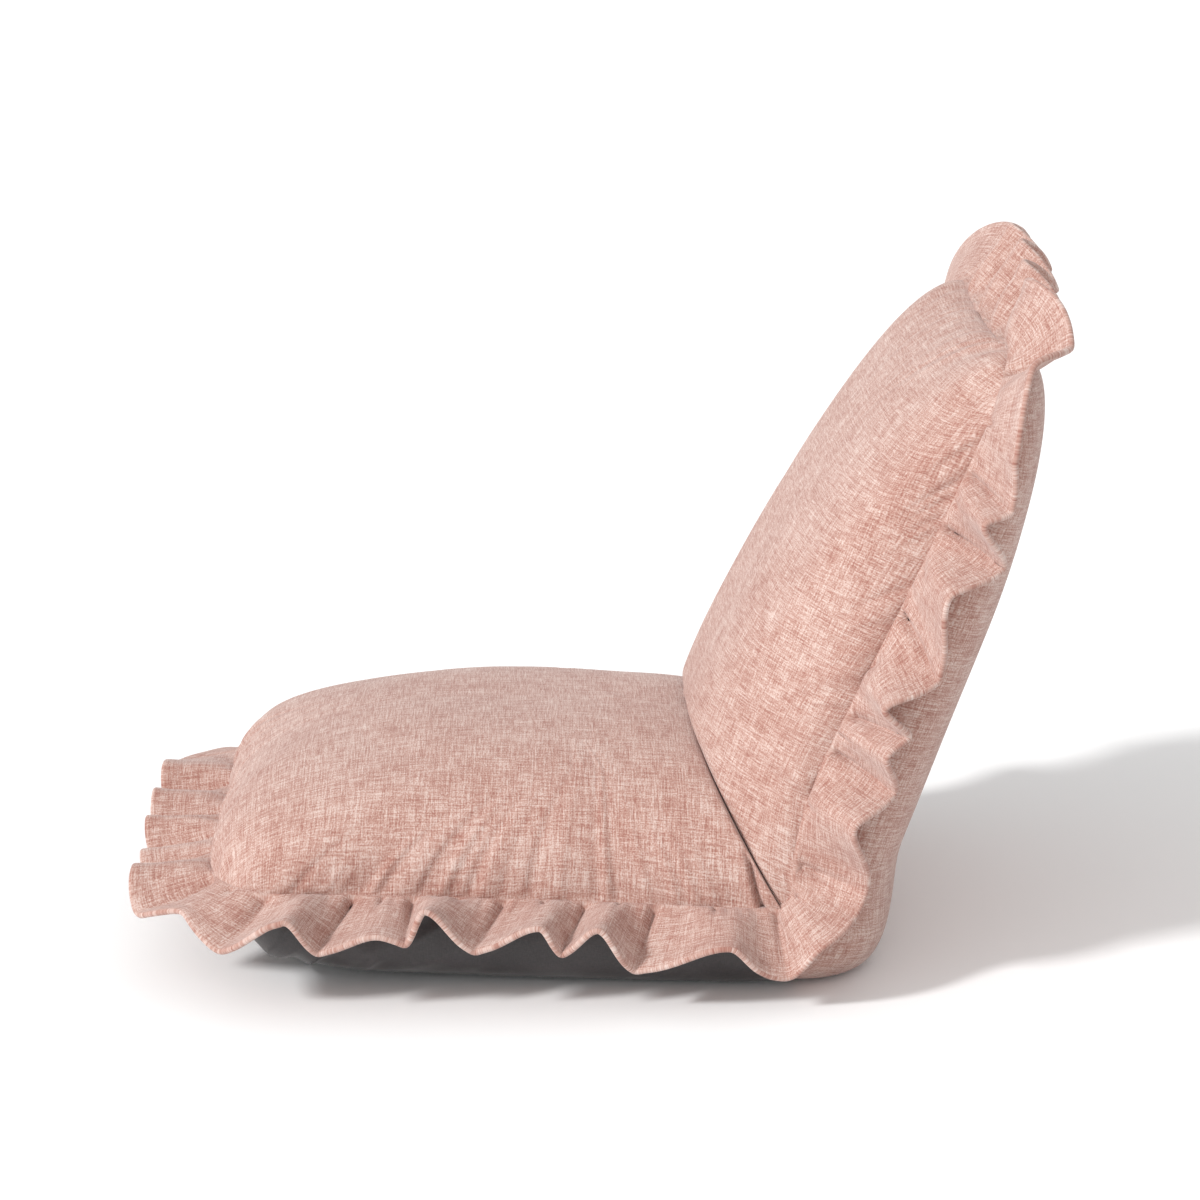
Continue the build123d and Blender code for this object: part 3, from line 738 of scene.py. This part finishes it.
# stretch of a cushion's outline: its places on the plane, as points in space
def seamRun(plane, shape, places):
    low = np.float64(shape["low"])
    high = np.float64(shape["high"])
    x, y = outline(
        low, high, halfWidth, shape["lowCorner"], shape["highCorner"], sideDraw, shape["lowDraw"], places
    )
    points = plane["origin"] + y[:, None] * plane["along"]
    points[:, 0] += x
    return points, y


# half of the seam's path, from the front's middle round the +X side to the top's middle;
# a parabola rounds it at the hinge corner
def seamPath():
    look = seamLook
    fine = np.linspace(1, 0, look["sidePoints"]) - look["nudge"]
    corner = np.linspace(1, 0, look["cornerPoints"])[:-1] - look["nudge"]
    frontEnd = np.linspace(0.5, 0, look["endPoints"])[:-1]
    topEnd = np.linspace(1, 0.5, look["endPoints"]) - look["nudge"]
    points, y = seamRun(seatPlane, seatOutline, np.concatenate([frontEnd, 7 + corner, 6 + fine]))
    seatLine = points[y < look["seatEnd"]]
    points, y = seamRun(backPlane, backOutline, np.concatenate([6 + fine[:-1], 5 + corner, 4 + topEnd]))
    backLine = bowForward(points[y > look["backStart"]])
    t = np.linspace(0, 1, look["bendPoints"])[1:-1, None]
    hingeCorner = np.array((halfWidth - look["cornerIn"], look["cornerBack"], look["cornerHeight"]))
    bend = (1 - t) ** 2 * seatLine[-1] + 2 * t * (1 - t) * hingeCorner + t * t * backLine[0]
    line = np.concatenate([seatLine, bend, backLine])
    steps = np.linalg.norm(np.diff(line, axis=0, prepend=line[:1]), axis=1)
    return line, np.cumsum(steps), len(seatLine) + look["bendPoints"] // 2


# the seam all round at even steps, with the directions in which the frill stands up and out there
def frillTrack():
    look = seamLook
    line, way, cornerIndex = seamPath()
    half = way[-1]
    cornerWay = way[cornerIndex]
    around = 2 * half
    place = np.arange(0, around, look["step"])
    near = np.minimum(place, around - place)
    root = np.stack([np.interp(near, way, line[:, k]) for k in range(3)], -1)
    root[:, 0] *= np.where(place > half, -1.0, 1.0)
    backShare = smoothStep(near, cornerWay - look["turnBefore"], cornerWay + look["turnAfter"])[:, None]
    up = (1 - backShare) * seatPlane["up"] + backShare * backPlane["up"]
    up = up / np.linalg.norm(up, axis=1, keepdims=True)
    out = np.cross(np.roll(root, -1, 0) - np.roll(root, 1, 0), up)
    out = out / np.linalg.norm(out, axis=1, keepdims=True)
    out = out * np.sign(out[len(place) // 4, 0])
    return {"around": around, "place": place, "root": root, "up": up, "out": out}


# the track's values at any places: straight between its steps, round the loop
def onTrack(track, key, place):
    columns = track[key].T
    return np.stack([np.interp(place, track["place"], c, period=track["around"]) for c in columns], -1)


# smooths values round the loop by a bell curve of the given number of columns
def bellSmooth(values, columns):
    reach = np.fft.rfftfreq(len(values))
    return np.fft.irfft(np.fft.rfft(values) * np.exp(-2 * (math.pi * columns * reach) ** 2), len(values))


# sum of bell curves at the given places
def bells(value, places, width):
    return np.exp(-(((value[:, None] - places) / width) ** 2)).sum(1)


# crests and tips all round as rows of place and droop, and each tip's places at seam and hem;
# the far side mirrors the near one, shaken by sine waves
def foldCourse(around):
    look = frillLook
    side = np.array(look["sideFolds"], float)
    top = np.array(look["topFolds"], float)
    front = np.array(look["frontFolds"], float)
    farHem = side[:, :4].reshape(-1, 2)[2:-1][::-1]  # without the first fold and the last tip
    place = around - farHem[:, 0] + look["farShift"] * np.sin(look["farShiftWave"] * farHem[:, 0])
    droop = farHem[:, 1] + look["farDroop"] * np.sin(look["farDroopWave"] * place)
    farHem = np.stack([place, droop], -1)
    nearHem = np.concatenate([side, top])[:, :4].reshape(-1, 2)
    frontHem = front[:, :4].reshape(-1, 2) + (around, 0)
    hem = np.concatenate([nearHem, farHem, frontHem, nearHem[:1] + (around, 0)])
    tips = np.concatenate([side, top, around - side[:-1][::-1], front + around])[:, (4, 2)]
    return hem, tips


# gathered band: straight lines run from the seam to a hem whose droop eases from crest to tip;
# towards the seam the droop differs more from its mean, and each low fold is pinched by a bell curve
def frillSheet(track):
    look = frillLook
    around = track["around"]
    width = look["width"]
    cols = look["columns"]
    hem, tips = foldCourse(around)
    cloth = np.cumsum(np.hypot(np.diff(hem[:, 0]), width * np.radians(np.diff(hem[:, 1]))))
    cloth = np.concatenate([[0.0], cloth])
    total = cloth[-1]
    u = np.linspace(0, total, cols, endpoint=False)
    soften = look["soften"] * cols / total
    trend = around * u / total
    order = np.arange(len(hem))
    step = np.interp(u, cloth, order)
    eased = np.floor(step) + smoothStep(step - np.floor(step), 0.0, 1.0)
    hemPlace = trend + bellSmooth(np.interp(u, cloth, hem[:, 0]) - trend, soften)
    hemDroop = bellSmooth(np.interp(eased, order, hem[:, 1]), soften)
    corners = np.interp(np.minimum(hemPlace, around - hemPlace), *np.transpose(look["cornerShare"]))
    hemShare = bellSmooth(corners * np.interp(hemPlace, *np.transpose(look["topShare"])), 2 * soften)

    # where each tip lies on the cloth and at the seam, with one more loop at both ends
    onCloth = np.interp(tips[:, 1], np.maximum.accumulate(hem[:, 0]), cloth)
    tipCloth = np.concatenate([onCloth - total, onCloth, onCloth + total])
    tipRoot = np.concatenate([tips[:, 0] - around, tips[:, 0], tips[:, 0] + around])
    rootPlace = trend + bellSmooth(np.interp(u, tipCloth, tipRoot) - trend, 3 * soften)
    between = (tipCloth[1:] + tipCloth[:-1]) / 2
    pinch = bells(u, tipCloth, look["pinchWidth"])
    tuckIn = pinch + look["tuckShare"] * bells(u, between, look["tuckWidth"])

    # rows from the seam, v = 0, to the hem, v = 1
    v = np.linspace(0, 1, look["rows"])[:, None] ** look["rowPower"]
    place = rootPlace + (hemPlace - rootPlace) * v
    meanDroop = bellSmooth(hemDroop, look["meanReach"] * cols / total)
    droop = meanDroop + (hemDroop - meanDroop) * (1 + look["rootTurn"] * (1 - v) ** 2)
    droop = np.radians(droop + look["pinch"] * pinch * np.exp(-v / look["pinchFade"]))
    pick = np.stack([rootPlace / look["gatherPitch"], 0 * u, 0 * u], -1)
    bigGathers = softNoise(pick, look["gatherSize"], look["seed"])
    smallGathers = softNoise(pick, look["smallGatherSize"], look["seed"] + 1)
    tucks = look["gathers"] * (bigGathers + look["smallGathers"] * smallGathers)
    tucks = tucks * np.exp(-v / look["gatherFade"]) * (1 - np.exp(-v / look["gatherStart"]))
    dip = look["dip"] * tuckIn * np.exp(-v / look["dipFade"]) * (1 - np.exp(-v / look["dipStart"]))
    reach = width * v * (1 + (hemShare - 1) * v)
    up = onTrack(track, "up", place)
    out = onTrack(track, "out", place)
    outward = reach * np.cos(droop) + look["off"] - look["dipIn"] * dip
    upward = tucks - reach * np.sin(droop) - dip
    middle = onTrack(track, "root", place) + out * outward[..., None] + up * upward[..., None]
    sewn = (middle[0] - out[0] * look["sewnIn"])[None]
    return np.concatenate([sewn, middle]), np.concatenate([[0.0], v[:, 0]])[:, None], up


# closed band round the sheet: both faces, and half a turn round the thicker hem
def makeFrill():
    look = frillLook
    width = look["width"]
    thick = look["thick"]
    track = frillTrack()
    middle, share, up = frillSheet(track)
    faceNormal = gridNormals(middle)
    clearRow = 4  # off the seam, where it is clear which face is the upper one
    faceNormal = faceNormal * np.sign((faceNormal[clearRow + 1] * up[clearRow]).sum())
    thickness = look["thin"] + (thick - look["thin"]) * smoothStep(share, look["hemStart"], look["hemEnd"])
    bulge = faceNormal * (thickness / 2)[..., None]
    hemOut = middle[-1] - middle[-2]
    hemOut = hemOut / np.linalg.norm(hemOut, axis=-1, keepdims=True)
    turns = np.radians(look["hemTurns"])[:, None, None]
    edge = middle[-1] + (np.cos(turns) * faceNormal[-1] + np.sin(turns) * hemOut) * thick / 2
    rows = np.concatenate([middle + bulge, edge, (middle - bulge)[::-1]])
    hemLength = float(np.linalg.norm(np.roll(middle[-1], -1, 0) - middle[-1], axis=-1).sum())
    upperFlat = share * width
    edgeFlat = np.full((len(turns), 1), width + look["hemFlat"])
    lowerFlat = (2 - share[::-1]) * width + 2 * look["hemFlat"]
    along = np.linspace(0, hemLength, look["columns"] + 1)[None]
    across = np.concatenate([upperFlat, edgeFlat, lowerFlat])
    flat = np.stack(np.broadcast_arrays(along, across), -1)
    made = gridObject("frill", rows, flat, closedRows=True)
    made.data.materials.append(pinkCloth)
    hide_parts("seat_frill", "back_frill")
    print("frill: seam", round(track["around"], 3), "hem", round(hemLength, 3))
    softMove(made)


foamCutLook = {"cuts": 31, "mergeDistance": 1e-6}


# foam slab: the node's own form, cut across the bend into narrow strips
def makeFoam(name, node):
    cad = frame["nodes"][node]
    form = bmesh.new()
    form.from_mesh(cad.data)
    form.transform(cad.matrix_world)
    bmesh.ops.remove_doubles(form, verts=form.verts[:], dist=foamCutLook["mergeDistance"])
    for step in np.linspace(-bendReach, bendReach, foamCutLook["cuts"]):
        geometry = form.verts[:] + form.edges[:] + form.faces[:]
        place = hinge + step * creaseNormal
        bmesh.ops.bisect_plane(form, geom=geometry, plane_co=place, plane_no=creaseNormal)
    mesh = bpy.data.meshes.new(name)
    form.to_mesh(mesh)
    form.free()
    made = placeObject(name, mesh)
    mesh.materials.append(nodeMaterials["foam"])
    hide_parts(node)
    softMove(made)


makeSeat()
makeBase()
makeBackFront()
makeBackRear()
makeFrill()
makeFoam("seatFoam", "seat_foam")
makeFoam("backFoam", "back_foam")
print("soft pieces made")


stageLook = {
    "floorHalf": 40.0, "floorWhite": (0.98, 0.98, 0.98, 1.0),
    "worldWhite": (1.0, 1.0, 1.0, 1.0), "ambient": 0.66,
    # name, place that the light comes from, angle of its disc in degrees, strength
    "lamps": (("key", (1.75, -2.6, 2.0), 8.0, 2.5), ("fill", (2.2, -1.4, 1.3), 70.0, 0.7)),
}


# stage: a white floor and background, a soft key from the front at the camera's side, and a weak fill
def makeStage():
    look = stageLook
    size = look["floorHalf"]
    mesh = bpy.data.meshes.new("floor")
    corners = [(-size, -size, 0), (size, -size, 0), (size, size, 0), (-size, size, 0)]
    mesh.from_pydata(corners, [], [(0, 1, 2, 3)])
    floor = placeObject("floor", mesh)
    mesh.materials.append(newMaterial("floorWhite", Roughness=1.0, Base_Color=look["floorWhite"])[0])
    world = bpy.data.worlds.new("white")
    scene.world = world
    world.use_nodes = True
    tree = world.node_tree
    background = tree.nodes["Background"]
    background.inputs["Color"].default_value = look["worldWhite"]
    path = tree.nodes.new("ShaderNodeLightPath")
    seen = Field(tree, path.outputs["Is Camera Ray"])
    strength = seen * (1.0 - look["ambient"]) + look["ambient"]  # pure white where the camera sees it
    tree.links.new(strength.socket, background.inputs["Strength"])
    for name, place, angle, power in look["lamps"]:
        lamp = bpy.data.lights.new(name, "SUN")
        lamp.angle = math.radians(angle)
        lamp.energy = power
        made = placeObject(name, lamp)
        made.location = place
        made.rotation_euler = (-Vector(place)).to_track_quat("-Z", "Y").to_euler()


cameraLook = {
    "lens": 108.0, "sensor": 36.0, "azimuth": math.radians(89.0), "elevation": math.radians(15.0),
    "target": (0.0, 0.0549, 0.2963), "distance": 3.272, "clipEnd": 100.0,
}


# camera of the photograph, from its fit to the chair's outlines
def makeCamera():
    look = cameraLook
    data = bpy.data.cameras.new("camera")
    data.lens = look["lens"]
    data.sensor_width = look["sensor"]
    data.clip_end = look["clipEnd"]
    back = Vector((
        math.sin(look["azimuth"]) * math.cos(look["elevation"]),
        -math.cos(look["azimuth"]) * math.cos(look["elevation"]),
        math.sin(look["elevation"]),
    ))
    camera = placeObject("camera", data)
    camera.location = Vector(look["target"]) + back * look["distance"]
    camera.rotation_euler = (-back).to_track_quat("-Z", "Y").to_euler()
    scene.camera = camera


makeStage()
makeCamera()
scene.view_settings.view_transform = "Standard"
print("stage made")
